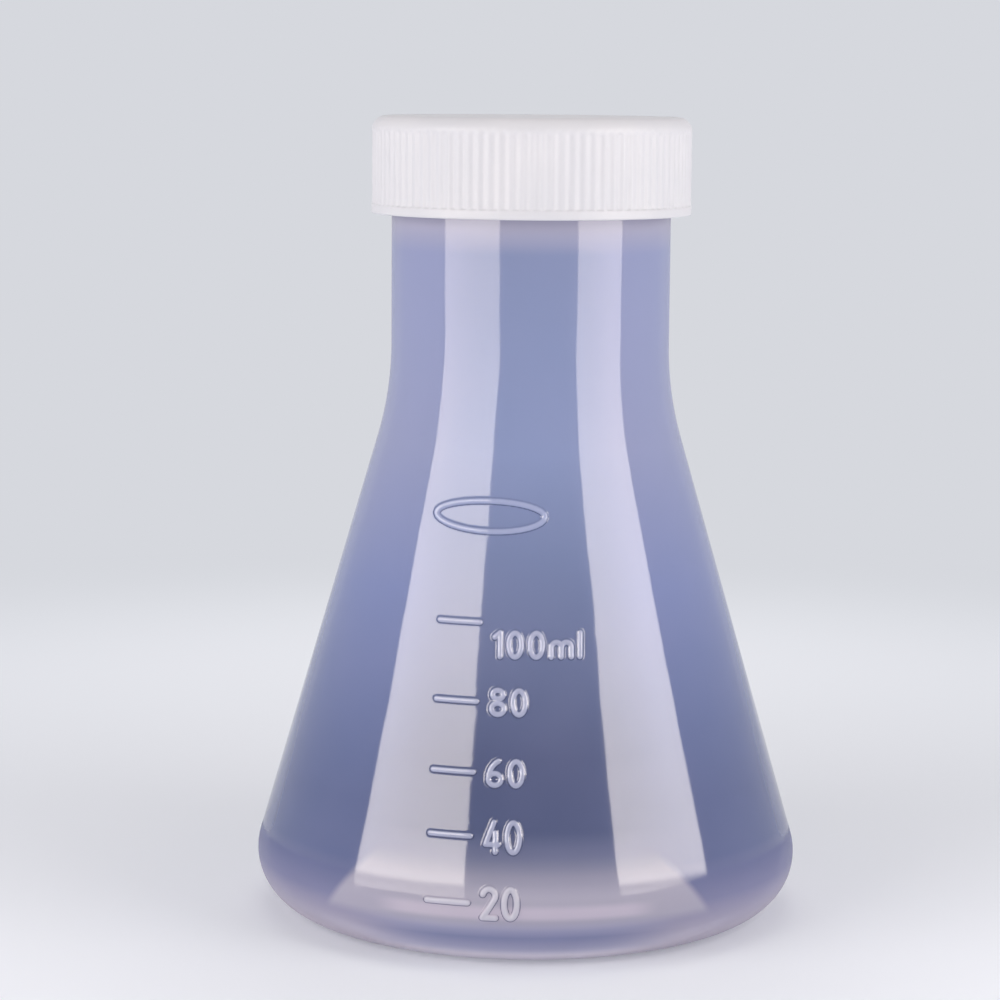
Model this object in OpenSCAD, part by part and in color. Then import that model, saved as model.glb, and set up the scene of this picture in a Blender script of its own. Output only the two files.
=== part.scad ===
// Conical flask with a screw cap, 100 ml, moulded in polypropylene.
// Millimetres. The origin is the centre of the foot ring, +Z runs up the axis to the mouth,
// and the graduated side faces -Y.

/* [Body] */
// Widest diameter of the body, just above the heel
body_d = 66.4; // [60:0.2:74]
// Outside radius of the heel, where the wall turns under
heel_r = 7; // [5:0.5:9]
// Width of the flat foot ring that the flask stands on
foot_w = 2.6; // [1.6:0.2:5]
// Rise of the pushed-up base at its centre
punt_h = 1.2; // [0.6:0.1:2.4]
// Thickness of the cone and neck wall
wall = 1.2; // [0.9:0.1:1.6]
// Thickness of the base
base_t = 1.6; // [1.3:0.1:2.4]
// Height where the straight lines of cone and neck would meet
shoulder_h = 63.7; // [58:0.1:68]
// Radius of the blend from cone to neck
shoulder_r = 40; // [20:1:60]

/* [Neck] */
// Outside diameter of the neck
neck_d = 33.8; // [32:0.2:36]
// Height of the rim above the foot
rim_h = 94.4; // [91:0.2:100]
// Rounding of the two edges of the rim
rim_round = 0.4; // [0.2:0.05:0.55]

/* [Thread] */
// Rise of the thread in one turn
thread_pitch = 3.6; // [3.2:0.1:4]
// Height of the thread ridge, on the neck and in the cap
thread_depth = 1; // [0.8:0.05:1.2]
// Width of the ridge where it leaves the wall
ridge_root = 2; // [1.6:0.1:2.2]
// Width of the ridge at its crest
ridge_crest = 0.8; // [0.5:0.1:1]
// Turns of ridge on the neck
neck_turns = 1.25; // [1:0.05:1.4]
// Turns of ridge in the cap
cap_turns = 1; // [0.8:0.05:1]
// Depth of the upper end of the neck ridge below the rim
thread_start = 2.2; // [1.8:0.1:2.6]
// Radial gap from each crest to the wall that faces it
thread_gap = 0.25; // [0.15:0.05:0.4]

/* [Cap] */
// Height of the cap
cap_h = 11.7; // [11.2:0.1:13]
// Thickness of the skirt, from its bore to the plain bands
cap_wall = 1.2; // [1:0.05:1.6]
// Thickness of the top plate
cap_top_t = 1.5; // [1:0.1:2]
// Radius of the rounded top edge
cap_round = 1.8; // [1.2:0.1:2.2]
// Number of grip ribs round the skirt
rib_count = 96; // [60:4:120]
// Height of a rib above the valley beside it
rib_depth = 0.25; // [0.15:0.05:0.4]
// Height of the plain band below the ribs
band_h = 1.1; // [0.8:0.1:2]

/* [Liner] */
// Thickness of the sealing disc
liner_t = 1; // [0.8:0.1:1.5]
// Radial gap from the sealing disc to the bore of the cap
liner_gap = 0.25; // [0.15:0.05:0.4]

/* [Graduations] */
// Height of the 20 ml line
mark_20_h = 8.2; // [8:0.1:9.5]
// Height of the 40 ml line
mark_40_h = 15.5; // [14.5:0.1:17]
// Height of the 60 ml line
mark_60_h = 22.5; // [21:0.1:25]
// Height of the 80 ml line
mark_80_h = 30.3; // [28:0.1:33]
// Height of the 100 ml line
mark_100_h = 39.1; // [37:0.1:42]
// Lean of the column of lines and numbers to the right of upright, in degrees
marks_lean = 2; // [0:0.5:4]
// Length of each line
tick_l = 5.4; // [4:0.1:6]
// Distance from the centre plane to the left edge of the number 60
label_x = 4.7; // [4:0.1:6]
// Gap between a line and its number
tick_gap = 1; // [0.5:0.1:1.4]
// Height of the numbers 20 and 40
digit_h = 4; // [3:0.1:4.4]
// Height of the numbers 60, 80 and 100
upper_digit_h = 3.4; // [3:0.1:4.4]
// Width of one digit
digit_w = 2.2; // [1.8:0.1:2.4]
// Gap between digits
digit_gap = 0.25; // [0.2:0.05:0.5]
// Width of the raised strokes
stroke_w = 0.75; // [0.5:0.05:0.8]
// Height of the raised strokes above the wall
relief = 0.3; // [0.2:0.05:0.4]
// Height of the middle of the plain oval above the foot
oval_h = 51; // [49:0.1:53]
// Length of the plain oval
oval_l = 13.4; // [10:0.1:15]
// Width of the plain oval
oval_w = 4.2; // [3:0.1:6]

/* [Hidden] */

body_r = body_d / 2;
neck_r = neck_d / 2;

// Cone: tangent to the heel circle, through the crossing point with the neck line.
heel_x = body_r - heel_r;
heel_reach = norm([heel_x - neck_r, shoulder_h - heel_r]);
cone_a = atan2(heel_x - neck_r, shoulder_h - heel_r) + asin(heel_r / heel_reach);
blend_z = shoulder_h + shoulder_r * tan(cone_a / 2);

// Base: a shallow dome inside the foot ring; the floor of the inside runs parallel to it.
dome_edge = heel_x - foot_w;
dome_r = (pow(dome_edge, 2) + pow(punt_h, 2)) / (2 * punt_h);
dome_a = asin(dome_edge / dome_r);
floor_lift = base_t - wall;
floor_x = heel_x - floor_lift * tan(cone_a);

// Thread: ridges sink into their walls so that each is one solid with its piece.
ridge_sink = 0.4;
ridge_step = 10;
ridge_fade = 30;
thread_top = rim_h - thread_start;

// Cap: seated on the sealing disc, which is seated on the rim.
cap_bore_r = neck_r + thread_depth + thread_gap;
cap_r = cap_bore_r + cap_wall;
cap_ceiling = rim_h + liner_t;
cap_top = cap_ceiling + cap_top_t;
cap_bottom = cap_top - cap_h;
rib_inset = 0.05;
rib_crest_r = cap_r - rib_inset;
rib_bite = 0.1;
liner_r = cap_bore_r - liner_gap;

// Raised marks: how far a stroke reaches into the wall, and how finely curves are cut.
mark_root = 0.5;
curve_steps = 10;
label_drop_100 = upper_digit_h / 2 + 0.7;
oval_x = -4.4;

// Points of an arc about c, from angle a0 to a1.
function arc(c, r, a0, a1, n = curve_steps) =
    [for (i = [0:n]) let (a = a0 + (a1 - a0) * i / n) c + r * [cos(a), sin(a)]];

// Heel, cone, blend and neck as one line, moved out by d, from the floor to height top.
function skin(d, top, lift = 0, shift = 0) = concat(
    arc([heel_x - shift, heel_r + lift], heel_r + d, -90, cone_a, 14),
    arc([neck_r + shoulder_r, blend_z], shoulder_r - d, 180 + cone_a, 180, 8),
    [[neck_r + d, top]]
);

// Dome of the base, from the axis out to the foot ring, raised by z.
function dome(z) = arc([0, punt_h - dome_r + z], dome_r, 90, 90 - dome_a);

// ---- Flask -------------------------------------------------------------------------------

// Half section of the flask, from the middle of the base round the rim and back down inside.
module flask_section() {
    outer = skin(0, rim_h - rim_round);
    inner = skin(-wall, rim_h - rim_round, floor_lift, floor_lift * tan(cone_a));
    outer_lip = arc([neck_r - rim_round, rim_h - rim_round], rim_round, 0, 90, 4);
    inner_lip = arc([neck_r - wall + rim_round, rim_h - rim_round], rim_round, 90, 180, 4);
    polygon(concat(
        dome(0),
        [for (i = [0:len(outer) - 2]) outer[i]],
        outer_lip,
        inner_lip,
        [for (i = [len(inner) - 2:-1:0]) inner[i]],
        [for (i = [curve_steps:-1:0]) dome(base_t)[i]]
    ));
}

module flask() {
    color([0.72, 0.75, 0.87, 0.6]) {
        rotate_extrude($fn = 120) flask_section();
        ridge(neck_r, 1, neck_turns, thread_top);
        marks();
    }
}

// ---- Thread ------------------------------------------------------------------------------

// One section of a ridge at turn angle a (degrees down from its upper end); side is 1 for a
// ridge on the outside of a wall and -1 for one on the inside.
function ridge_section(r, side, a, length_a, z_top) =
    let (
        fade = min(1, a / ridge_fade, (length_a - a) / ridge_fade),
        root = r - side * ridge_sink,
        crest = r + side * (thread_depth * fade - (1 - fade) * ridge_sink / 4),
        root_half = (ridge_root + (ridge_root - ridge_crest) * ridge_sink / thread_depth) / 2,
        crest_half = ridge_crest / 2,
        z = z_top - thread_pitch * a / 360,
        out = [cos(-a), sin(-a)]
    )
    [
        [root * out.x, root * out.y, z - root_half],
        [root * out.x, root * out.y, z + root_half],
        [crest * out.x, crest * out.y, z + crest_half],
        [crest * out.x, crest * out.y, z - crest_half]
    ];

// Right-handed ridge that winds down from z_top and fades into the wall at both ends.
module ridge(r, side, turns, z_top) {
    count = round(turns * 360 / ridge_step);
    sections = [for (i = [0:count]) each ridge_section(r, side, i * ridge_step, count * ridge_step, z_top)];
    band = [for (i = [0:count - 1], k = [0:3])
        [4 * i + k, 4 * i + (k + 1) % 4, 4 * i + 4 + (k + 1) % 4, 4 * i + 4 + k]];
    faces = concat([[3, 2, 1, 0]], band, [[for (k = [0:3]) 4 * count + k]]);
    polyhedron(sections, side > 0 ? faces : [for (f = faces) [for (k = [len(f) - 1:-1:0]) f[k]]], convexity = 4);
}

// ---- Raised marks --------------------------------------------------------------------------

function unit(v) = v / norm(v);
function heading(path, i) = unit(path[min(i + 1, len(path) - 1)] - path[max(i - 1, 0)]);
function beside(path, i) = let (h = heading(path, i)) [-h.y, h.x];

// Outline of a stroke along a path, with a round end at each tip.
module stroke(path) {
    half = stroke_w / 2;
    last = len(path) - 1;
    start_a = atan2(beside(path, 0).y, beside(path, 0).x);
    end_a = atan2(beside(path, last).y, beside(path, last).x);
    polygon(concat(
        arc(path[0], half, start_a + 180, start_a, 6),
        [for (i = [1:1:last - 1]) path[i] + half * beside(path, i)],
        arc(path[last], half, end_a, end_a - 180, 6),
        [for (i = [last - 1:-1:1]) path[i] - half * beside(path, i)]
    ));
}

// Ring of stroke width round an ellipse whose outer size is w by h.
module ring(centre, w, h) {
    translate(centre) difference() {
        polygon([for (a = [0:15:345]) [cos(a) * w / 2, sin(a) * h / 2]]);
        polygon([for (a = [0:15:345]) [cos(a) * (w / 2 - stroke_w), sin(a) * (h / 2 - stroke_w)]]);
    }
}

// Digits and letters of height h stand on y = 0 with their left edge at x = 0; e is half a stroke.
module glyph(name, h) {
    e = stroke_w / 2;
    w = digit_w;
    bowl = (w - stroke_w) / 2;
    small_h = h * 0.7;
    arch = (letter_width("m") - stroke_w) / 4;
    if (name == "0") ring([w / 2, h / 2], w, h);
    if (name == "1") {
        stroke([[letter_width("1") - e, e], [letter_width("1") - e, h - e]]);
        stroke([[e, h - e - 0.5], [letter_width("1") - e, h - e]]);
    }
    if (name == "2") {
        stroke(concat(arc([w / 2, h - e - bowl], bowl, 170, -35), [[e, e]]));
        stroke([[e, e], [w - e, e]]);
    }
    if (name == "4") {
        stroke([[w * 0.6, h - e], [e, h * 0.3]]);
        stroke([[e, h * 0.3], [w - e, h * 0.3]]);
        stroke([[w * 0.68, h * 0.62], [w * 0.68, e]]);
    }
    if (name == "6") {
        ring([w / 2, h * 0.3], w, h * 0.6);
        stroke(arc([w + e, h * 0.32], w, 172, 118));
    }
    if (name == "8") {
        ring([w / 2, h * 0.29], w, h * 0.58);
        ring([w / 2, h * 0.75], w * 0.9, h * 0.5);
    }
    if (name == "m") {
        for (x = [e, e + 2 * arch, e + 4 * arch]) stroke([[x, e], [x, small_h - e - arch / 2]]);
        for (x = [e + arch, e + 3 * arch]) stroke(arc([x, small_h - e - arch], arch, 180, 0));
    }
    if (name == "l") stroke([[e, e], [e, h - e]]);
}

function letter_width(name) =
    name == "1" ? digit_w * 0.62 :
    name == "m" ? digit_w * 1.4 :
    name == "l" ? stroke_w :
    digit_w;

// Left edge of letter i of a word.
function letter_x(word, i) = i == 0 ? 0 : letter_x(word, i - 1) + letter_width(word[i - 1]) + digit_gap;

// Line and number of one volume; h is the height of the number, drop how far it hangs below.
module graduation(z, word, h, drop = 0) {
    tick_end = -label_x - tick_gap;
    translate([(z - mark_60_h) * tan(marks_lean), z]) {
        stroke([[tick_end - tick_l + stroke_w / 2, 0], [tick_end - stroke_w / 2, 0]]);
        for (i = [0:len(word) - 1])
            translate([letter_x(word, i) - label_x, -h / 2 - drop]) glyph(word[i], h);
    }
}

module marks() {
    marks_top = oval_h + oval_w;
    intersection() {
        rotate([90, 0, 0]) linear_extrude(body_r + relief) {
            graduation(mark_20_h, "20", digit_h);
            graduation(mark_40_h, "40", digit_h);
            graduation(mark_60_h, "60", upper_digit_h);
            graduation(mark_80_h, "80", upper_digit_h);
            graduation(mark_100_h, "100ml", upper_digit_h, label_drop_100);
            ring([oval_x, oval_h], oval_l, oval_w);
        }
        rotate_extrude($fn = 120)
            polygon(concat(
                skin(relief, rim_h),
                [for (i = [len(skin(0, rim_h)) - 1:-1:0]) skin(-mark_root, rim_h)[i]]
            ));
    }
}

// ---- Cap -----------------------------------------------------------------------------------

module cap_section() {
    core_r = rib_crest_r - rib_depth - rib_bite;
    rib_top = cap_top - cap_round;
    polygon(concat(
        [[0, cap_ceiling], [cap_bore_r, cap_ceiling], [cap_bore_r, cap_bottom], [cap_r, cap_bottom],
            [cap_r, cap_bottom + band_h], [core_r, cap_bottom + band_h], [core_r, rib_top], [cap_r, rib_top]],
        arc([cap_r - cap_round, rib_top], cap_round, 0, 90, 8),
        [[0, cap_top]]
    ));
}

module ribs() {
    valley_r = rib_crest_r - rib_depth;
    rib_z = cap_bottom + band_h - rib_bite;
    pitch_a = 360 / rib_count;
    translate([0, 0, rib_z]) linear_extrude(cap_top - cap_round + rib_bite - rib_z) difference() {
        polygon([for (i = [0:rib_count - 1], k = [0:3])
            let (r = k < 2 ? valley_r : rib_crest_r, a = (i + [0.02, 0.42, 0.6, 0.84][k]) * pitch_a)
            r * [cos(a), sin(a)]]);
        circle(r = cap_bore_r + rib_bite, $fn = 120);
    }
}

module screw_cap() {
    color([0.93, 0.93, 0.95]) {
        rotate_extrude($fn = 120) cap_section();
        ribs();
        ridge(cap_bore_r, -1, cap_turns, thread_top - thread_pitch / 2);
    }
}

// ---- Liner ---------------------------------------------------------------------------------

module liner() {
    color([0.97, 0.97, 0.94]) translate([0, 0, rim_h]) cylinder(r = liner_r, h = liner_t, $fn = 120);
}

flask();
screw_cap();
liner();
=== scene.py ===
# %% [markdown]
# # A 100 ml conical flask with a screw cap
#
# This lesson dresses a small laboratory flask in Blender. The flask is blow-moulded from
# natural polypropylene, the milky plastic of lab ware; its cap is injection-moulded from
# the same plastic with a white pigment, and a thin foam disc seals the two.
#
# The solid model is loaded first and never changed. It fixes every size, so a piece made
# here only has to follow the same numbers to sit in the right place. Lengths in the cells
# below are in millimetres, because that is how a mould maker thinks, and one function turns
# them into Blender's metres.

# %% Load the solid model
import math

import bmesh
import bpy
import numpy as np
from mathutils import Matrix, Vector


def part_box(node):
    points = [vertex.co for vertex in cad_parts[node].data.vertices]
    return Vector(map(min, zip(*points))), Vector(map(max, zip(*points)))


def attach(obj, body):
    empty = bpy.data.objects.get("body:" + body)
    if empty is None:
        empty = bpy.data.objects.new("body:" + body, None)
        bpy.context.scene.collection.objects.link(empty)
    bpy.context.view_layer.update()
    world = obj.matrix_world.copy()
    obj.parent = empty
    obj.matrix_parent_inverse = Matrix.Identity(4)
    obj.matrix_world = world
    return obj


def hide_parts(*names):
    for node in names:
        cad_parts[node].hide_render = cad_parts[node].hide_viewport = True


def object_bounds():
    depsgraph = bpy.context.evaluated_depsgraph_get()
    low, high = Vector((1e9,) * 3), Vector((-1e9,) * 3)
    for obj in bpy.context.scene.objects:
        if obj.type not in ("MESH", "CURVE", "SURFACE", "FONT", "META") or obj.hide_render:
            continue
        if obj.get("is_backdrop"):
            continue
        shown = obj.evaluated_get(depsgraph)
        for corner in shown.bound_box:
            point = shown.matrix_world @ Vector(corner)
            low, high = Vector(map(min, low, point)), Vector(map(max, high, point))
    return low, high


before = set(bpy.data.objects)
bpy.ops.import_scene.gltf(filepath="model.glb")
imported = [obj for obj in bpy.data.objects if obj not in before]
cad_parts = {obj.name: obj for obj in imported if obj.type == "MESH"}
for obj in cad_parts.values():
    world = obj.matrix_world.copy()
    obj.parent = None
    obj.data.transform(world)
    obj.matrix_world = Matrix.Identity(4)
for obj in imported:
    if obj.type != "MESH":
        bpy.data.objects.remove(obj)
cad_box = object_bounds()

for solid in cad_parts:
    low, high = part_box(solid)
    print(solid, "spans", [round((high - low)[axis] * 1000, 2) for axis in range(3)], "mm")

# %% [markdown]
# ## Sizes
#
# These are the sizes of the mould, in millimetres. Those of the body describe one line, the
# section that is turned round the axis: a flat foot ring, a rounded heel, a straight cone, a
# wide blend and a straight neck. They could be measured from the loaded solids, but a mould
# is made from numbers, and named numbers can be read, compared and changed.

# %% Sizes of the flask
BODY_R, HEEL_R, FOOT_W, PUNT_H = 33.2, 7.0, 2.6, 1.2
WALL, BASE_T = 1.2, 1.6
SHOULDER_H, SHOULDER_R = 63.7, 40.0
NECK_R, RIM_H, RIM_ROUND = 16.9, 94.4, 0.4

HEEL_X = BODY_R - HEEL_R
heel_reach = math.hypot(HEEL_X - NECK_R, SHOULDER_H - HEEL_R)
CONE_A = math.atan2(HEEL_X - NECK_R, SHOULDER_H - HEEL_R) + math.asin(HEEL_R / heel_reach)
BLEND_Z = SHOULDER_H + SHOULDER_R * math.tan(CONE_A / 2)
print("the cone leans", round(math.degrees(CONE_A), 2), "degrees from upright")

# %% Sizes of the thread and the cap
THREAD_PITCH, THREAD_DEPTH = 3.6, 1.0
RIDGE_ROOT, RIDGE_CREST = 2.0, 0.8
NECK_TURNS, CAP_TURNS = 1.25, 1.0
THREAD_TOP = RIM_H - 2.2
RIDGE_FADE = 30

CAP_H, CAP_WALL, CAP_TOP_T, CAP_ROUND = 11.7, 1.2, 1.5, 1.8
RIB_COUNT, RIB_DEPTH, BAND_H = 96, 0.17, 1.1
LINER_T = 1.0

BORE_R = NECK_R + THREAD_DEPTH + 0.25
CAP_R = BORE_R + CAP_WALL
CEILING_Z = RIM_H + LINER_T
CAP_TOP_Z = CEILING_Z + CAP_TOP_T
CAP_BOTTOM_Z = CAP_TOP_Z - CAP_H
print("the cap is", round(2 * CAP_R, 2), "mm across")
print("it reaches from", CAP_BOTTOM_Z, "to", CAP_TOP_Z, "mm")

# %% Sizes of the raised marks
# Heights are in millimetres above the foot, and each name is what the mark says.
MARK_HEIGHTS = {"20": 8.2, "40": 15.5, "60": 22.5, "80": 30.3, "100ml": 39.1}
MARKS_LEAN = math.radians(2)
TICK_L, LABEL_X, TICK_GAP = 5.4, 4.7, 1.0
DIGIT_H = {"20": 4.0, "40": 4.0, "60": 3.4, "80": 3.4, "100ml": 3.4}
DIGIT_W, DIGIT_GAP = 2.2, 0.25
STROKE_W, RELIEF = 0.75, 0.29
LABEL_DROP = {"100ml": DIGIT_H["100ml"] / 2 + 0.7}
OVAL_X, OVAL_Z, OVAL_L, OVAL_W = -4.4, 51.0, 13.4, 4.2
print(len(MARK_HEIGHTS), "marks, the highest at", max(MARK_HEIGHTS.values()), "mm")

# %% [markdown]
# ## The section of the flask
#
# A turned piece is fully told by half of its section. It could be drawn by hand as a curve,
# but arcs and lines from the sizes meet exactly. It runs from the middle of the base out to
# the foot, up the outside to the rim and back down the inside. Points sit close together
# where the line bends or where the thread will rise, and far apart on the straight cone,
# because each point becomes a whole ring of the mesh.

# %% Drawing helpers
MM = 0.001


def arc(centre, radius, start, end, steps):
    """Points on an arc about centre, angles in degrees."""
    turn = np.radians(np.linspace(start, end, steps + 1))
    return [(centre[0] + radius * math.cos(a), centre[1] + radius * math.sin(a)) for a in turn]


def line(start, end, steps):
    """Evenly spaced points between start and end, with neither of them."""
    return [tuple(p) for p in np.linspace(start, end, steps + 1)[1:-1]]


def base_dome(lift):
    """The pushed-up middle of the base, from the axis to the foot ring."""
    edge = HEEL_X - FOOT_W
    radius = (edge**2 + PUNT_H**2) / (2 * PUNT_H)
    end = 90 - math.degrees(math.asin(edge / radius))
    return arc((0, PUNT_H - radius + lift), radius, 90, end, 14)


print("the dome of the base is drawn with", len(base_dome(0)), "points")

# %% The section line
lean = math.degrees(CONE_A)
LIP_Z = RIM_H - RIM_ROUND
THREAD_LOW_Z = THREAD_TOP - NECK_TURNS * THREAD_PITCH - 1.4

outer_heel = arc((HEEL_X, HEEL_R), HEEL_R, -90, lean, 20)
outer_blend = arc((NECK_R + SHOULDER_R, BLEND_Z), SHOULDER_R, 180 + lean, 180, 12)
outer_lip = arc((NECK_R - RIM_ROUND, LIP_Z), RIM_ROUND, 0, 90, 5)
outside = (
    base_dome(0)
    + line((HEEL_X - FOOT_W, 0), (HEEL_X, 0), 3)
    + outer_heel
    + line(outer_heel[-1], outer_blend[0], 50)
    + outer_blend
    + line(outer_blend[-1], (NECK_R, THREAD_LOW_Z), 13)
    + line((NECK_R, THREAD_LOW_Z), (NECK_R, LIP_Z), 40)
    + outer_lip
)

floor_lift = BASE_T - WALL
floor_x = HEEL_X - floor_lift * math.tan(CONE_A)
inner_heel = arc((floor_x, HEEL_R + floor_lift), HEEL_R - WALL, -90, lean, 14)
inner_blend = arc((NECK_R + SHOULDER_R, BLEND_Z), SHOULDER_R + WALL, 180 + lean, 180, 8)
inner_lip = arc((NECK_R - WALL + RIM_ROUND, LIP_Z), RIM_ROUND, 90, 180, 5)
inside = (
    base_dome(BASE_T)
    + line((HEEL_X - FOOT_W, BASE_T), (floor_x, BASE_T), 2)
    + inner_heel
    + line(inner_heel[-1], inner_blend[0], 24)
    + inner_blend
    + line(inner_blend[-1], (NECK_R - WALL, LIP_Z), 12)
    + inner_lip[::-1]
)
flask_section = outside + inside[::-1]
print("the section has", len(flask_section), "points")

# %% [markdown]
# ## Nodes, one at a time
#
# Every tree below, for shapes and for finishes alike, is built with one small function that
# adds a node, gives it its settings and plugs in its inputs. An input is a plain value, a
# node made before, which stands for its first output in use, or one output of such a node.
# Settings that come back often have names of their own.


# %% Adding a node
def add(tree, kind, settings=None, **inputs):
    """Adds a node; an input named in_0, in_1 ... is found by its place, others by name."""
    node = tree.nodes.new(kind)
    for key, value in (settings or {}).items():
        setattr(node, key, value)
    for key, value in inputs.items():
        by_place = key.startswith("in_")
        socket = node.inputs[int(key[3:]) if by_place else key.replace("_", " ")]
        if isinstance(value, bpy.types.Node):
            value = next(output for output in value.outputs if output.enabled)
        if isinstance(value, bpy.types.NodeSocket):
            tree.links.new(value, socket)
        else:
            socket.default_value = value
    return node


TIMES, DIVIDE = {"operation": "MULTIPLY"}, {"operation": "DIVIDE"}
PLUS, MINUS = {"operation": "ADD"}, {"operation": "SUBTRACT"}
DOT = {"operation": "DOT_PRODUCT"}
SMOOTH = {"interpolation_type": "SMOOTHSTEP"}
COLOURS = {"data_type": "RGBA"}


# %% A new shape tree
def new_shape_tree(name, inputs):
    """A Geometry Nodes tree with a mesh going in and out, and one named input per size."""
    tree = bpy.data.node_groups.new(name, "GeometryNodeTree")
    sockets = tree.interface
    sockets.new_socket("Mesh", in_out="INPUT", socket_type="NodeSocketGeometry")
    for label, kind in inputs.items():
        sockets.new_socket(label, in_out="INPUT", socket_type="NodeSocket" + kind)
    sockets.new_socket("Mesh", in_out="OUTPUT", socket_type="NodeSocketGeometry")
    return tree, tree.nodes.new("NodeGroupInput").outputs, tree.nodes.new("NodeGroupOutput")


# %% Running a shape tree
def use_tree(piece, tree, **values):
    """Puts a tree on a piece as a modifier, with its inputs set by socket identifier."""
    modifier = piece.modifiers.new(tree.name, "NODES")
    modifier.node_group = tree
    for socket in tree.interface.items_tree:
        key = socket.name.replace(" ", "_").lower()
        if socket.in_out == "INPUT" and key in values:
            modifier[socket.identifier] = values[key]


def settle(piece):
    """Turns what the modifiers show into the piece's own plain mesh."""
    graph = bpy.context.evaluated_depsgraph_get()
    settled = bpy.data.meshes.new_from_object(piece.evaluated_get(graph))
    piece.modifiers.clear()
    old, piece.data = piece.data, settled
    bpy.data.meshes.remove(old)
    settled.name = piece.name
    print(piece.name, "has", len(settled.vertices), "points")


# %% A new piece
def new_piece(name, points, edges=()):
    """A mesh object at the origin from points in millimetres."""
    mesh = bpy.data.meshes.new(name)
    mesh.from_pydata([tuple(c * MM for c in p) for p in points], list(edges), [])
    piece = bpy.data.objects.new(name, mesh)
    bpy.context.scene.collection.objects.link(piece)
    return piece


# %% [markdown]
# ## Turning a section round the axis
#
# A blow mould and a cap mould are both cut on a lathe, so both pieces here come from one
# tree that does what the lathe does. Blender's Screw modifier could turn a line too, but it
# can't draw the wall in between the ribs of a cap. The tree makes a flat grid, with one row
# for each point of the section and one column for each step round the axis, and moves every
# grid point to its place. Where the section carries a value named rib, the wall is drawn in
# by up to the rib depth. The first and last columns meet, and so do all the points on the
# axis; merging them closes the mesh.

# %% The lathe tree: a grid with a row for each point and a column for each step
lathe, given, made = new_shape_tree(
    "lathe",
    {"Columns": "Int", "Columns per rib": "Int", "Rib depth": "Float", "Finish": "Material"},
)
count = add(lathe, "GeometryNodeAttributeDomainSize", Geometry=given["Mesh"])
rows = count.outputs["Point Count"]
columns = add(lathe, "ShaderNodeMath", PLUS, in_0=given["Columns"], in_1=1.0)
grid = add(
    lathe, "GeometryNodeMeshGrid", Size_X=1.0, Size_Y=1.0, Vertices_X=columns, Vertices_Y=rows
)
index = add(lathe, "GeometryNodeInputIndex")
row = add(lathe, "ShaderNodeMath", {"operation": "MODULO"}, in_0=index, in_1=rows)
share = add(lathe, "ShaderNodeMath", DIVIDE, in_0=index, in_1=rows)
column = add(lathe, "ShaderNodeMath", {"operation": "FLOOR"}, in_0=share)
print("the lathe tree has", len(lathe.nodes), "nodes so far")

# %% The lathe tree: the point of the section and how deep its rib is
position = add(lathe, "GeometryNodeInputPosition")
rib = add(lathe, "GeometryNodeInputNamedAttribute", {"data_type": "FLOAT"}, Name="rib")
on_section, rib_share = (
    add(
        lathe, "GeometryNodeSampleIndex", {"data_type": kind},
        Geometry=given["Mesh"], Value=value, Index=row,
    )
    for kind, value in (("FLOAT_VECTOR", position), ("FLOAT", rib))
)
phase = add(lathe, "ShaderNodeMath", DIVIDE, in_0=column, in_1=given["Columns per rib"])
from_crest = add(lathe, "ShaderNodeMath", {"operation": "PINGPONG"}, in_0=phase, in_1=0.5)
valley = add(lathe, "ShaderNodeMapRange", SMOOTH, Value=from_crest, in_1=0.0, in_2=0.48)
depth = add(lathe, "ShaderNodeMath", TIMES, in_0=valley, in_1=given["Rib depth"])
depth_here = add(lathe, "ShaderNodeMath", TIMES, in_0=depth, in_1=rib_share)
inward = add(lathe, "ShaderNodeCombineXYZ", X=depth_here)
ribbed = add(lathe, "ShaderNodeVectorMath", MINUS, in_0=on_section, in_1=inward)
print("the lathe tree has", len(lathe.nodes), "nodes so far")

# %% The lathe tree: turn, close and finish
turn_share = add(lathe, "ShaderNodeMath", DIVIDE, in_0=column, in_1=given["Columns"])
turn = add(lathe, "ShaderNodeMath", TIMES, in_0=turn_share, in_1=math.tau)
turned = add(
    lathe, "ShaderNodeVectorRotate", {"rotation_type": "Z_AXIS"}, Vector=ribbed, Angle=turn
)
placed = add(lathe, "GeometryNodeSetPosition", Geometry=grid.outputs["Mesh"], Position=turned)
closed = add(lathe, "GeometryNodeMergeByDistance", Geometry=placed, Distance=0.001 * MM)
real = add(lathe, "GeometryNodeRealizeInstances", Geometry=closed)
smooth = add(lathe, "GeometryNodeSetShadeSmooth", Geometry=real)
finished = add(lathe, "GeometryNodeSetMaterial", Geometry=smooth, Material=given["Finish"])
lathe.links.new(finished.outputs[0], made.inputs["Mesh"])
print("the lathe tree has", len(lathe.nodes), "nodes")

# %% [markdown]
# ## Raising ridges and strokes
#
# A thread ridge and a raised number are the same thing to a mould: a groove cut along a
# line, which fills with plastic. They could be solids of their own, but then a seam would
# show where they meet the wall. This tree raises the wall itself. It finds how far each
# point is from the nearest line and lifts it along its own direction: fully within the
# crest, not at all past the foot, and on a smooth flank in between. Flatten brings the wall
# onto the plane of the lines first, as an engraver who cuts the numbers straight into one
# half of the mould would. The tree notes how far each point rose, for the finish to read.

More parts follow.
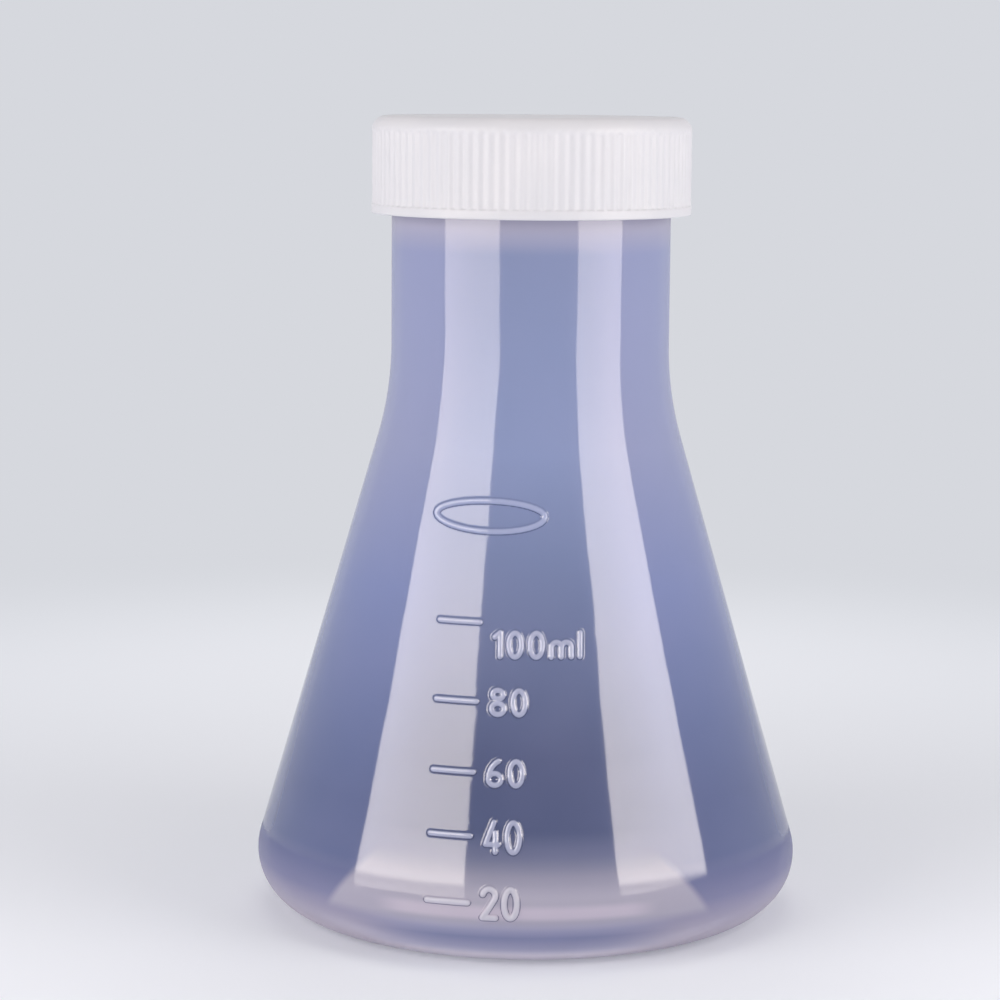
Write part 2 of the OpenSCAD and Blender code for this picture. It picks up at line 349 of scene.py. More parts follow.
# %% The raising tree: how high each point of the wall should rise
raising, given, made = new_shape_tree(
    "raise_along_lines",
    {
        "Lines": "Object", "Crest": "Float", "Foot": "Float", "Height": "Float",
        "Flatten": "Vector", "Side": "Float", "Back limit": "Float", "Finish": "Material",
    },
)
lines = add(raising, "GeometryNodeObjectInfo", Object=given["Lines"])
position = add(raising, "GeometryNodeInputPosition")
normal = add(raising, "GeometryNodeInputNormal")
flat = add(raising, "ShaderNodeVectorMath", TIMES, in_0=position, in_1=given["Flatten"])
near = add(
    raising, "GeometryNodeProximity", {"target_element": "EDGES"},
    Geometry=lines.outputs["Geometry"], Sample_Position=flat,
)
lift = add(
    raising, "ShaderNodeMapRange", SMOOTH, Value=near.outputs["Distance"],
    in_1=given["Crest"], in_2=given["Foot"], in_3=given["Height"], in_4=0.0,
)
print("the raising tree has", len(raising.nodes), "nodes so far")

# %% The raising tree: only the wanted side of the wall moves
radial = add(raising, "ShaderNodeVectorMath", TIMES, in_0=position, in_1=(1.0, 1.0, 0.0))
outwards = add(raising, "ShaderNodeVectorMath", DOT, in_0=normal, in_1=radial)
sided = add(raising, "ShaderNodeMath", TIMES, in_0=outwards, in_1=given["Side"])
right_side = add(raising, "ShaderNodeMath", {"operation": "GREATER_THAN"}, in_0=sided, in_1=0.0)
parts = add(raising, "ShaderNodeSeparateXYZ", Vector=position)
in_front = add(
    raising, "ShaderNodeMath", {"operation": "LESS_THAN"},
    in_0=parts.outputs["Y"], in_1=given["Back limit"],
)
chosen = add(raising, "ShaderNodeMath", TIMES, in_0=right_side, in_1=in_front)
print("the raising tree has", len(raising.nodes), "nodes so far")

# %% The raising tree: move the wall and note how far it rose
offset = add(raising, "ShaderNodeVectorMath", {"operation": "SCALE"}, in_0=normal, Scale=lift)
moved = add(
    raising, "GeometryNodeSetPosition", Geometry=given["Mesh"], Selection=chosen, Offset=offset
)
risen = add(raising, "ShaderNodeMath", DIVIDE, in_0=lift, in_1=given["Height"])
here = add(raising, "ShaderNodeMath", TIMES, in_0=risen, in_1=chosen)
before = add(raising, "GeometryNodeInputNamedAttribute", {"data_type": "FLOAT"}, Name="raised")
most = add(raising, "ShaderNodeMath", {"operation": "MAXIMUM"}, in_0=here, in_1=before)
noted = add(
    raising, "GeometryNodeStoreNamedAttribute", {"data_type": "FLOAT", "domain": "POINT"},
    Geometry=moved, Name="raised", Value=most,
)
real = add(raising, "GeometryNodeRealizeInstances", Geometry=noted)
finished = add(raising, "GeometryNodeSetMaterial", Geometry=real, Material=given["Finish"])
raising.links.new(finished.outputs[0], made.inputs["Mesh"])
print("the raising tree has", len(raising.nodes), "nodes")

# %% [markdown]
# ## Colours and finishes
#
# Colours are written as the hex values of a paint chart and turned into the linear values
# that a shader wants. Patterns are scaled from a real size: the scale of a noise is how
# many times it repeats in a metre. A picture could be wrapped round the pieces instead, but
# noise and soft steps need no picture and stay sharp from near.


# %% Colour and scale helpers
def linear(hex_colour):
    """sRGB hex to a linear RGBA colour."""
    values = [int(hex_colour[i : i + 2], 16) / 255 for i in (1, 3, 5)]
    values = [v / 12.92 if v <= 0.04045 else ((v + 0.055) / 1.055) ** 2.4 for v in values]
    return (*values, 1.0)


def per_metre(size_mm):
    """Texture scale for a pattern whose features are size_mm across."""
    return 1000 / size_mm


def new_finish(name):
    """An empty material with its surface shader and its output."""
    finish = bpy.data.materials.new(name)
    finish.use_nodes = True
    finish.node_tree.nodes.clear()
    surface = finish.node_tree.nodes.new("ShaderNodeBsdfPrincipled")
    output = finish.node_tree.nodes.new("ShaderNodeOutputMaterial")
    finish.node_tree.links.new(surface.outputs[0], output.inputs["Surface"])
    return finish, finish.node_tree, surface


print("middle grey is", round(linear("#808080")[0], 3), "in linear light")


# %% Painting where masks are open
def where(tree, *steps):
    """How open a mask is: the product of soft steps, each (value, start, end, first, last)."""
    share = None
    for value, start, end, first, last in steps:
        ramp = add(
            tree, "ShaderNodeMapRange", SMOOTH,
            Value=value, in_1=start, in_2=end, in_3=first, in_4=last,
        )
        share = ramp if share is None else add(tree, "ShaderNodeMath", TIMES, in_0=share, in_1=ramp)
    return share


def paint_over(tree, under, colour, *steps):
    """Lays a colour over another where all the soft steps are open."""
    share = where(tree, *steps)
    return add(tree, "ShaderNodeMix", COLOURS, Factor=share, in_6=under, in_7=colour)


def set_stops(ramp, stops):
    """Gives a colour ramp its colours at heights in millimetres, up to the rim."""
    while len(ramp.color_ramp.elements) < len(stops):
        ramp.color_ramp.elements.new(0.5)
    for element, (stop_z, colour) in zip(ramp.color_ramp.elements, stops):
        element.position = stop_z / RIM_H
        element.color = linear(colour)


# %% [markdown]
# ### Natural polypropylene
#
# Unpigmented polypropylene is full of tiny crystals that scatter blue light a little more
# than red, so it looks like thin milk with a touch of lilac. The wall hides only part of
# what is behind it: each of its two faces lets a fifth of the light by. Light that goes
# through the wall could be traced, but a shell this thin would need many samples, so the
# milkiness is a colour here. A blown wall is thickest at the neck and at the heel, and
# thicker at the two sides, where the halves of the mould meet, than in the middle of each
# half. So a few colours do: thin and thick wall, each for the sides and for the middle, the
# foot, the heel and the finish under the cap. Ramps by height run from one to the next, and
# soft steps say where each ramp shows. These colours also hold painted light and shade. The
# middle of each half is painted darker than the sides, more so low on the body, as the shade
# between the two side softboxes. The front of the heel carries a painted light patch and a
# painted dark line: reflections of the lit floor and of the flask's shadow on it. The foot
# and the base are painted near white, partly for their thicker plastic and partly as light
# from the floor. The neck just under the cap is painted lighter, partly for the thicker
# finish and partly as a reflection of the cap.
#
# Lamps show in the polished skin as crisp stripes, drawn by a clear coat. The heel, which
# the plastic reached last and coldest, has less of it, and so has the upper neck.

# %% Natural polypropylene: where a point lies on the wall
MOULD_AXIS = (0.035, 0.999, 0.0)

natural_pp, tree, surface = new_finish("natural_polypropylene_blow_moulded")
place = add(tree, "ShaderNodeTexCoord")
spot = place.outputs["Object"]
height = add(tree, "ShaderNodeSeparateXYZ", Vector=spot).outputs["Z"]
level = add(tree, "ShaderNodeVectorMath", TIMES, in_0=spot, in_1=(1.0, 1.0, 0.0))
radius = add(tree, "ShaderNodeVectorMath", {"operation": "LENGTH"}, in_0=level)
forward = add(tree, "ShaderNodeVectorMath", DOT, in_0=spot, in_1=MOULD_AXIS)
fore = add(tree, "ShaderNodeMath", {"operation": "ABSOLUTE"}, in_0=forward)
fore_share = add(tree, "ShaderNodeMath", DIVIDE, in_0=fore, in_1=radius)
climb = add(tree, "ShaderNodeMapRange", Value=height, in_1=0.0, in_2=RIM_H * MM)
print("a place on the wall takes", len(tree.nodes), "nodes")

# %% Natural polypropylene: colours by height
# The front colours are painted darker than the side ones. This is painted shade, deepest low on the
# body, where the side softboxes reach least.
THIN_SIDE, THIN_FRONT_SHADED = "#5F6B99", "#4B5680"
HALF_SIDE = "#8490C0"
THICK_SIDE, THICK_FRONT_SHADED, NECK_FRONT_SHADED = "#9DA4CA", "#8E9CC6", "#8B96BC"
# The base colour is painted near white: its thicker plastic is milkier, and the rest is painted
# light from the floor.
BASE_MILK_AND_LIGHT, FINISH_MILK_AND_CAP_REFLECTION = "#E4DCE8", "#B4B2C8"
# The foot colours are painted near white, partly for thicker plastic and partly as painted light
# from the floor.
FOOT_SIDE_THICK_AND_LIT, FOOT_FRONT_THICK_AND_LIT, FOOT_SHADE_LINE = "#CFC7D6", "#E6DFEB", "#8E94BA"
# The lighter front of the heel and the patch over it are painted light, a reflection of the lit
# floor.
HEEL_SIDE, HEEL_FRONT_LIT, HEEL_LIGHT_PATCH = "#8B8DB1", "#B5B5D2", "#BEBACC"
# Stroke colours are milky and painted lighter, as a highlight on the raised crests.
STROKE_MILK_AND_HIGHLIGHT = "#BCC0DC"

MILK_BY_HEIGHT = {
    "sides": [
        (2.0, FOOT_SIDE_THICK_AND_LIT), (7.0, HEEL_SIDE), (11.5, THIN_SIDE), (18.0, THIN_SIDE),
        (42.0, HALF_SIDE), (58.0, THICK_SIDE), (81.0, THICK_SIDE), (84.2, FINISH_MILK_AND_CAP_REFLECTION),
    # Just under the cap the neck is painted lighter, partly for its thicker wall and partly as a
    # painted reflection of the cap.
    ],
    "middle": [
        # Low in front, between lighter bands, a dark line is painted as the reflection of the
        # flask's shadow on the floor.
        (1.5, FOOT_FRONT_THICK_AND_LIT), (2.3, HEEL_FRONT_LIT), (4.0, FOOT_SHADE_LINE), (5.5, HEEL_FRONT_LIT),
        (16.0, THIN_FRONT_SHADED), (24.0, THIN_FRONT_SHADED),
        (58.0, THICK_FRONT_SHADED), (81.0, NECK_FRONT_SHADED), (84.2, FINISH_MILK_AND_CAP_REFLECTION),
    ],
    "heel": [(9.0, HEEL_LIGHT_PATCH), (14.5, THIN_FRONT_SHADED)],
    "strokes": [(9.5, "#DEDCEA"), (14.0, STROKE_MILK_AND_HIGHLIGHT), (40.0, STROKE_MILK_AND_HIGHLIGHT), (50.0, "#AEB6DA")],
}
milk_of = {}
for part, stops in MILK_BY_HEIGHT.items():
    milk_of[part] = add(tree, "ShaderNodeValToRGB", Fac=climb)
    set_stops(milk_of[part], stops)
print("the wall has", len(milk_of), "ramps by height")

# %% Natural polypropylene: the shaded middle, the painted light on the heel, and the base
# The heel carries a painted light patch, standing in for the lit floor that it reflects. It shows
# in front only, and its ends lean, so that it narrows from the foot upwards.
HEEL_LIGHT_LEAN = -15.5

heel_light_edge = add(
    tree, "ShaderNodeMath", {"operation": "MULTIPLY_ADD"},
    in_0=height, in_1=HEEL_LIGHT_LEAN, in_2=fore_share,
)
# The middle of each half is painted darker than the sides, as shade between the two side softboxes.
milk = paint_over(tree, milk_of["sides"], milk_of["middle"], (fore_share, 0.78, 0.985, 0.0, 1.0))
# The heel patch is painted light, standing in for the lit floor reflected in the heel.
milk = paint_over(
    tree, milk, milk_of["heel"],
    (heel_light_edge, 0.64, 0.67, 0.0, 1.0),
    (height, 4.8 * MM, 6.4 * MM, 0.0, 1.0),
    (height, 11.2 * MM, 14.5 * MM, 1.0, 0.0),
)
# A warm band is painted lighter across the front of the heel, part of the same painted reflection.
milk = paint_over(
    tree, milk, linear("#D8CFE0"),
    (fore_share, 0.86, 0.93, 0.0, 1.0),
    (height, 6.0 * MM, 6.8 * MM, 0.0, 1.0),
    (height, 7.3 * MM, 8.3 * MM, 1.0, 0.0),
)
# The base is painted near white, partly for its thicker plastic and partly as painted light from
# the floor.
milk = paint_over(
    tree, milk, linear(BASE_MILK_AND_LIGHT),
    (radius, 24 * MM, 25.5 * MM, 1.0, 0.0),
    (height, 3.2 * MM, 4.0 * MM, 1.0, 0.0),
)
print("with its milky layers", len(tree.nodes), "nodes")

# %% Natural polypropylene: clouds and raised strokes
# The foot of a stroke is painted dark as shade, most on the side that looks down, and the stroke
# itself is milky, with its crest painted lighter as a highlight.
clouds = add(tree, "ShaderNodeTexNoise", Vector=spot, Scale=per_metre(18), Detail=2.0)
cloud_share = add(
    tree, "ShaderNodeMapRange", Value=clouds, in_1=0.3, in_2=0.7, in_3=0.0, in_4=0.10
)
milk = add(tree, "ShaderNodeMix", COLOURS, Factor=cloud_share, in_6=milk, in_7=linear("#B1ADD5"))
raised = add(tree, "ShaderNodeAttribute", {"attribute_name": "raised"}).outputs["Fac"]
looks_up = add(tree, "ShaderNodeSeparateXYZ", Vector=place.outputs["Normal"]).outputs["Z"]
# Painted shade at the foot of each stroke, darkest on the side that looks down.
milk = paint_over(
    tree, milk, linear("#2E3A66"),
    (raised, 0.02, 0.12, 0.0, 1.0),
    (raised, 0.2, 0.4, 1.0, 0.0),
    (looks_up, 0.1, 0.5, 0.7, 0.12),
)
# The crest of each stroke is painted lighter, partly for milkier plastic and partly as a painted
# highlight.
milk = paint_over(tree, milk, milk_of["strokes"], (raised, 0.3, 0.75, 0.0, 1.0))
tree.links.new(milk.outputs[2], surface.inputs["Base Color"])
print("with its clouds and strokes", len(tree.nodes), "nodes")

# %% Natural polypropylene: the skin
waves = add(tree, "ShaderNodeTexNoise", Vector=spot, Scale=per_metre(14), Detail=1.0)
wavy = add(tree, "ShaderNodeBump", Strength=0.35, Distance=0.35 * MM, Height=waves)
for socket in ("Normal", "Coat Normal"):
    tree.links.new(wavy.outputs[0], surface.inputs[socket])
polish = where(
    tree,
    (height, 9.6 * MM, 10.5 * MM, 0.35, 1.0),
    (height, 30 * MM, 86 * MM, 1.0, 0.55),
)
tree.links.new(polish.outputs[0], surface.inputs["Coat Weight"])
for socket, value in {
    "Roughness": 0.6, "Specular IOR Level": 0.0, "Alpha": 0.8,
    "Coat Roughness": 0.06, "Coat IOR": 1.6,
}.items():
    surface.inputs[socket].default_value = value
print(natural_pp.name, "has", len(tree.nodes), "nodes")

# %% [markdown]
# ### White polypropylene
#
# The cap holds a white pigment, which hides the milkiness and leaves an even, almost neutral
# white. Its mould is spark-eroded to a fine satin, so lamps show only as a soft glow, and
# the faint flow of the plastic round the skirt gives it a barely uneven tone. Light that
# spreads inside the plastic could be traced as well, but under a pigment it hardly shows.

# %% White polypropylene, injection-moulded
white_pp, tree, surface = new_finish("white_polypropylene_injection_moulded")
spot = add(tree, "ShaderNodeTexCoord").outputs["Object"]
flow = add(tree, "ShaderNodeTexNoise", Vector=spot, Scale=per_metre(9), Detail=2.0)
tone = add(tree, "ShaderNodeMapRange", Value=flow, in_1=0.3, in_2=0.7)
white = add(
    tree, "ShaderNodeMix", COLOURS,
    Factor=tone, in_6=linear("#D8D7DC"), in_7=linear("#D3D3D9"),
)
tree.links.new(white.outputs[2], surface.inputs["Base Color"])
grain = add(tree, "ShaderNodeTexNoise", Vector=spot, Scale=per_metre(0.35), Detail=3.0)
satin = add(tree, "ShaderNodeBump", Strength=0.12, Distance=0.03 * MM, Height=grain)
tree.links.new(satin.outputs[0], surface.inputs["Normal"])
gloss = add(tree, "ShaderNodeMapRange", Value=grain, in_1=0.3, in_2=0.7, in_3=0.42, in_4=0.54)
tree.links.new(gloss.outputs[0], surface.inputs["Roughness"])
surface.inputs["IOR"].default_value = 1.49
surface.inputs["Specular IOR Level"].default_value = 0.2
print(white_pp.name, "has", len(tree.nodes), "nodes")

# %% [markdown]
# ### Foamed polyethylene
#
# The sealing disc is punched from a sheet of foamed polyethylene. Its closed cells are about
# 0.4 mm across and show as a matt, finely pebbled face. Rounded cells from a Voronoi texture
# shade it and dent it, which is enough for a disc that is seen only when the cap is off.

# %% Foamed polyethylene, die-cut
foam_pe, tree, surface = new_finish("foamed_polyethylene_die_cut")
spot = add(tree, "ShaderNodeTexCoord").outputs["Object"]
cells = add(
    tree, "ShaderNodeTexVoronoi", {"feature": "SMOOTH_F1"}, Vector=spot, Scale=per_metre(0.4)
).outputs["Distance"]
cell_tone = add(
    tree, "ShaderNodeMix", COLOURS,
    Factor=cells, in_6=linear("#F1F0EA"), in_7=linear("#DDDCD6"),
)
tree.links.new(cell_tone.outputs[2], surface.inputs["Base Color"])
pebbles = add(
    tree, "ShaderNodeBump", {"invert": True}, Strength=0.5, Distance=0.08 * MM, Height=cells
)
tree.links.new(pebbles.outputs[0], surface.inputs["Normal"])
surface.inputs["Roughness"].default_value = 0.75
surface.inputs["IOR"].default_value = 1.5
print(foam_pe.name, "has", len(tree.nodes), "nodes")

# %% [markdown]
# ## The wall of the flask
#
# The body, neck, rim and inside are one continuous wall, so they are one piece. A Solidify
# modifier could give a single skin its thickness, but a real section has a thicker base and
# rounded lips. So the lathe tree turns the closed section, inside and outside at once.

# %% Turn the flask
FLASK_COLUMNS = 180

flask_wall = new_piece("flask_wall", [(x, 0, z) for x, z in flask_section])
use_tree(
    flask_wall, lathe, columns=FLASK_COLUMNS, columns_per_rib=1, rib_depth=0.0, finish=natural_pp
)
settle(flask_wall)

# %% [markdown]
# ## Lines of the marks
#
# The numbers are engraved with one round tool, so each is drawn as its centre line. A font
# could be used, but its letters are outlines, and a tool leaves strokes of one width. A zero
# is a tall ring, a six and an eight are rings on rings, and straight lines do the rest. The
# lines lie on the plane y = 0, and the raising tree carries them to the front of the wall.


# %% Letters as centre lines
def loop(centre, width, height):
    """Centre line of a ring whose outer size is width by height."""
    turn = np.linspace(0, math.tau, 33)
    half_w, half_h = (width - STROKE_W) / 2, (height - STROKE_W) / 2
    return [(centre[0] + half_w * math.cos(a), centre[1] + half_h * math.sin(a)) for a in turn]


LETTER_W = {"1": DIGIT_W * 0.62, "m": DIGIT_W * 1.4, "l": STROKE_W}


def letter(name, h):
    """Centre lines of a digit or letter of height h that stands on 0 with its left edge at 0."""
    e, w = STROKE_W / 2, DIGIT_W
    bowl, small_h = (w - STROKE_W) / 2, h * 0.7
    arch = (LETTER_W["m"] - STROKE_W) / 4
    one_x = LETTER_W["1"] - e
    legs = [[(x, e), (x, small_h - e - arch)] for x in (e, e + 2 * arch, e + 4 * arch)]
    arches = [arc((x, small_h - e - arch), arch, 180, 0, 10) for x in (e + arch, e + 3 * arch)]
    return {
        "0": [loop((w / 2, h / 2), w, h)],
        "1": [[(one_x, e), (one_x, h - e)], [(e, h - e - 0.5), (one_x, h - e)]],
        "2": [arc((w / 2, h - e - bowl), bowl, 170, -35, 12) + [(e, e)], [(e, e), (w - e, e)]],
        "4": [
            [(w * 0.6, h - e), (e, h * 0.3)],
            [(e, h * 0.3), (w - e, h * 0.3)],
            [(w * 0.68, h * 0.62), (w * 0.68, e)],
        ],
        "6": [loop((w / 2, h * 0.3), w, h * 0.6), arc((w + e, h * 0.32), w, 172, 118, 8)],
        "8": [loop((w / 2, h * 0.29), w, h * 0.58), loop((w / 2, h * 0.75), w * 0.9, h * 0.5)],
        "m": legs + arches,
        "l": [[(e, e), (e, h - e)]],
    }[name]


# %% All the marks
strokes = [loop((OVAL_X, OVAL_Z), OVAL_L, OVAL_W)]
for word, mark_z in MARK_HEIGHTS.items():
    shift = (mark_z - MARK_HEIGHTS["60"]) * math.tan(MARKS_LEAN)
    tick_end = shift - LABEL_X - TICK_GAP
    strokes.append([(tick_end - TICK_L + STROKE_W / 2, mark_z), (tick_end - STROKE_W / 2, mark_z)])
    pen_x, foot_z = shift - LABEL_X, mark_z - DIGIT_H[word] / 2 - LABEL_DROP.get(word, 0)
    for name in word:
        paths = letter(name, DIGIT_H[word])
        strokes += [[(pen_x + x, foot_z + z) for x, z in path] for path in paths]
        pen_x += LETTER_W.get(name, DIGIT_W) + DIGIT_GAP


def lines_object(name, paths):
    """One mesh of edges that runs along every path."""
    points, edges = [], []
    for path in paths:
        edges += [(len(points) + i, len(points) + i + 1) for i in range(len(path) - 1)]
        points += path
    return new_piece(name, points, edges)


mark_lines = lines_object("mark_lines", [[(x, 0, z) for x, z in path] for path in strokes])
print(len(strokes), "strokes in", len(MARK_HEIGHTS) + 1, "marks")

# %% [markdown]
# ## Finer mesh under the marks
#
# A stroke is under a millimetre wide, far finer than the turned mesh. The whole wall could
# be made finer, but it would take millions of points. Only the cells under the marks are
# cut up, which keeps the piece light. The new points lie on the straight sides of the old
# cells, so they are moved out to the true radius of the section.

# %% Cut up the cells under the marks
CUTS = 8
REACH = 0.62
SAMPLE_GAP = 0.15
MARKS_LOW_Z, MARKS_TOP_Z, MARKS_HALF_W = 4, 55, 14


def wall_radius(z):
    """Outside radius of heel and cone at height z, in millimetres."""
    heel = HEEL_X + np.sqrt(np.maximum(HEEL_R**2 - (z - HEEL_R) ** 2, 0))
    cone = outer_heel[-1][0] - (z - outer_heel[-1][1]) * math.tan(CONE_A)
    return np.where(z < outer_heel[-1][1], heel, cone)


samples = []
for path in strokes:
    for start, end in zip(path, path[1:]):
        count = max(2, int(math.dist(start, end) / SAMPLE_GAP) + 1)
        samples += [tuple(p) for p in np.linspace(start, end, count)]
samples = np.array(samples)
print(len(samples), "samples along the strokes")

# %% Cut and seat
cells = bmesh.new()
cells.from_mesh(flask_wall.data)
under = set()
for face in cells.faces:
    middle = face.calc_center_median() / MM
    outside_front = middle.y < 0 and face.normal.y < -0.05
    if outside_front and MARKS_LOW_Z < middle.z < MARKS_TOP_Z and abs(middle.x) < MARKS_HALF_W:
        corners = np.array([(v.co.x / MM, v.co.z / MM) for v in face.verts])
        half_size = (corners.max(axis=0) - corners.min(axis=0)) / 2
        centre = (corners.max(axis=0) + corners.min(axis=0)) / 2
        gaps = np.maximum(np.abs(samples - centre) - half_size, 0)
        if np.hypot(gaps[:, 0], gaps[:, 1]).min() < REACH:
            under.update(face.edges)
old_count = len(cells.verts)
bmesh.ops.subdivide_edges(cells, edges=list(under), cuts=CUTS - 1, use_grid_fill=True)
cells.verts.ensure_lookup_table()
for vertex in cells.verts[old_count:]:
    flat_r = math.hypot(vertex.co.x, vertex.co.y)
    true_r = float(wall_radius(vertex.co.z / MM)) * MM
    vertex.co.x *= true_r / flat_r
    vertex.co.y *= true_r / flat_r
cells.to_mesh(flask_wall.data)
cells.free()
print("now", len(flask_wall.data.vertices), "points in", len(flask_wall.data.polygons), "cells")

# %% [markdown]
# ## The thread
#
# A thread ridge is a line too: a helix on the wall. A profile could be swept along it and
# joined on, but raising the wall leaves one closed skin. It is right-handed, so seen from
# the side it falls to the left as it comes round the front. At both ends the line sinks
# into the wall, which makes the ridge run out softly, as the end of a real thread does.


# %% A helix
HELIX_STEP = 2.5


def helix(wall_r, side, turns, top_z):
    """Points of a ridge line on a wall; it sinks into the wall at both ends."""
    points = []
    for a in np.arange(0, turns * 360 + 1, HELIX_STEP):
        fade = min(1, a / RIDGE_FADE, (turns * 360 - a) / RIDGE_FADE)
        radius = wall_r - side * (1 - fade) * RIDGE_ROOT / 2
        angle, z = math.radians(-a), top_z - THREAD_PITCH * a / 360
        points.append((radius * math.cos(angle), radius * math.sin(angle), z))
    return points


neck_line = lines_object("neck_line", [helix(NECK_R, 1, NECK_TURNS, THREAD_TOP)])
cap_top = THREAD_TOP - THREAD_PITCH / 2
cap_line = lines_object("cap_line", [helix(BORE_R, -1, CAP_TURNS, cap_top)])
for ridge in (neck_line, cap_line):
    print(ridge.name, "has", len(ridge.data.vertices), "points")

# %% Raise the marks and the thread
STROKE_CREST, STROKE_FOOT = 0.08, 0.5

use_tree(
    flask_wall, raising, lines=mark_lines,
    crest=STROKE_CREST * MM, foot=STROKE_FOOT * MM, height=RELIEF * MM,
    flatten=(1.0, 0.0, 1.0), side=1.0, back_limit=0.0, finish=natural_pp,
)
use_tree(
    flask_wall, raising, lines=neck_line, crest=RIDGE_CREST / 2 * MM, foot=RIDGE_ROOT / 2 * MM,
    height=THREAD_DEPTH * MM, flatten=(1.0, 1.0, 1.0), side=1.0, back_limit=1.0, finish=natural_pp,
)
settle(flask_wall)

# %% [markdown]
# ## The screw cap
#
# The cap could be cut from a cylinder, but it is moulded, and so it is turned from its own
# section by the same tree, with ribs on the skirt between a plain band at the bottom and
# the rounded top edge. A few columns to a rib are enough for a soft crest. The section
# starts at the middle of the ceiling, goes down the bore, round the lower edge and up the
# outside to the middle of the top. The third number of a point says how much of the rib
# depth it takes.

# %% The section of the cap
CREST_R = CAP_R - 0.05
RIB_LOW_Z, RIB_TOP_Z = CAP_BOTTOM_Z + BAND_H, CAP_TOP_Z - CAP_ROUND
EDGE = 0.2
cap_section = (
    [(0, CEILING_Z, 0), (BORE_R * 0.5, CEILING_Z, 0), (BORE_R - 0.1, CEILING_Z, 0)]
    + [(BORE_R - 0.02, CEILING_Z - 0.02, 0), (BORE_R, CEILING_Z - 0.1, 0)]
    + [(x, z, 0) for x, z in line((BORE_R, CEILING_Z - 0.1), (BORE_R, CAP_BOTTOM_Z + EDGE), 44)]
    + [(x, z, 0) for x, z in arc((BORE_R + EDGE, CAP_BOTTOM_Z + EDGE), EDGE, 180, 270, 3)]
    + [(x, z, 0) for x, z in arc((CAP_R - EDGE, CAP_BOTTOM_Z + EDGE), EDGE, -90, 0, 3)]
    + [(CAP_R, RIB_LOW_Z - 0.12, 0), (CAP_R - 0.02, RIB_LOW_Z - 0.02, 0.05)]
    + [(CREST_R, RIB_LOW_Z + 0.08, 0.9), (CREST_R, RIB_LOW_Z + 0.2, 1)]
    + [(CREST_R, z, 1) for z in np.linspace(RIB_LOW_Z + 0.2, RIB_TOP_Z - 0.3, 8)[1:]]
    + [(CREST_R, RIB_TOP_Z - 0.12, 0.95), (CREST_R + 0.02, RIB_TOP_Z + 0.06, 0.6)]
    + [(*arc((CAP_R - CAP_ROUND, RIB_TOP_Z), CAP_ROUND, 10, 90, 8)[0], 0.15)]
    + [(x, z, 0) for x, z in arc((CAP_R - CAP_ROUND, RIB_TOP_Z), CAP_ROUND, 10, 90, 8)[1:]]
    + [(CAP_R - CAP_ROUND - 1.0, CAP_TOP_Z, 0), (CAP_R * 0.5, CAP_TOP_Z, 0), (0, CAP_TOP_Z, 0)]
)
print("the cap section has", len(cap_section), "points")

# %% Turn the cap and raise its thread
PER_RIB = 8

cap_shell = new_piece("cap_shell", [(x, 0, z) for x, z, rib in cap_section])
ribs = cap_shell.data.attributes.new("rib", "FLOAT", "POINT")
ribs.data.foreach_set("value", [rib for x, z, rib in cap_section])
use_tree(
    cap_shell, lathe, columns=RIB_COUNT * PER_RIB, columns_per_rib=PER_RIB,
    rib_depth=RIB_DEPTH * MM, finish=white_pp,
)
use_tree(
    cap_shell, raising, lines=cap_line, crest=RIDGE_CREST / 2 * MM, foot=RIDGE_ROOT / 2 * MM,
    height=THREAD_DEPTH * MM, flatten=(1.0, 1.0, 1.0), side=-1.0, back_limit=1.0, finish=white_pp,
)
settle(cap_shell)

# %% [markdown]
# ## Checking the meshes
#
# A shell that encloses a positive volume has its faces pointing outwards, and a closed
# shell has two faces on every edge. Both could be looked for by eye, but numbers miss
# nothing. The volume times the density of polypropylene, 0.9 grams per cubic centimetre,
# is also what the piece weighs.


# %% Volume and closure
def check_shell(piece):
    """Prints volume, open edges and triangle count of a piece; flips one that is inside out."""
    shell = bmesh.new()
    shell.from_mesh(piece.data)
    volume = shell.calc_volume(signed=True)
    if volume < 0:
        bmesh.ops.reverse_faces(shell, faces=shell.faces[:])
        shell.to_mesh(piece.data)
    loose = sum(1 for edge in shell.edges if len(edge.link_faces) != 2)
    triangles = sum(len(face.verts) - 2 for face in shell.faces)
    shell.free()
    print(piece.name, "holds", round(volume * 1e6, 2), "cubic cm of plastic")
    print(piece.name, "has", loose, "open edges and", triangles, "triangles")


for shell_piece in (flask_wall, cap_shell):
    check_shell(shell_piece)
for helper in (mark_lines, neck_line, cap_line):
    bpy.data.objects.remove(helper)

# %% [markdown]
# ## Joining the frame
#
# Each new piece takes the place of a solid and moves with that solid's body, so the cap
# turns and lifts as the solid model says. The sealing disc could be made again as well, but
# its own solid already has the right shape, so it only gets its finish.

# %% Pieces ride on their bodies
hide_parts("flask")
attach(flask_wall, "vessel")
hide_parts("screw_cap")
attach(cap_shell, "cap")
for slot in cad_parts["liner"].material_slots:
    slot.material = foam_pe
print("dressed:", flask_wall.name, cap_shell.name, "and liner")

# %% [markdown]
# ## Studio
#
# The flask stands on pale paper in a pale surround. In a real studio the paper is bent up
# behind, so that no horizon shows. A flat disc can do the same here: far from the flask it
# glows as brightly as the surround, and near it the paper takes the lamps' light and the
# flask's shadow. The surround fills in from everywhere, a little more from behind.

# %% The floor
PAPER = "#D6D8DE"
FLOOR_R = 12.0

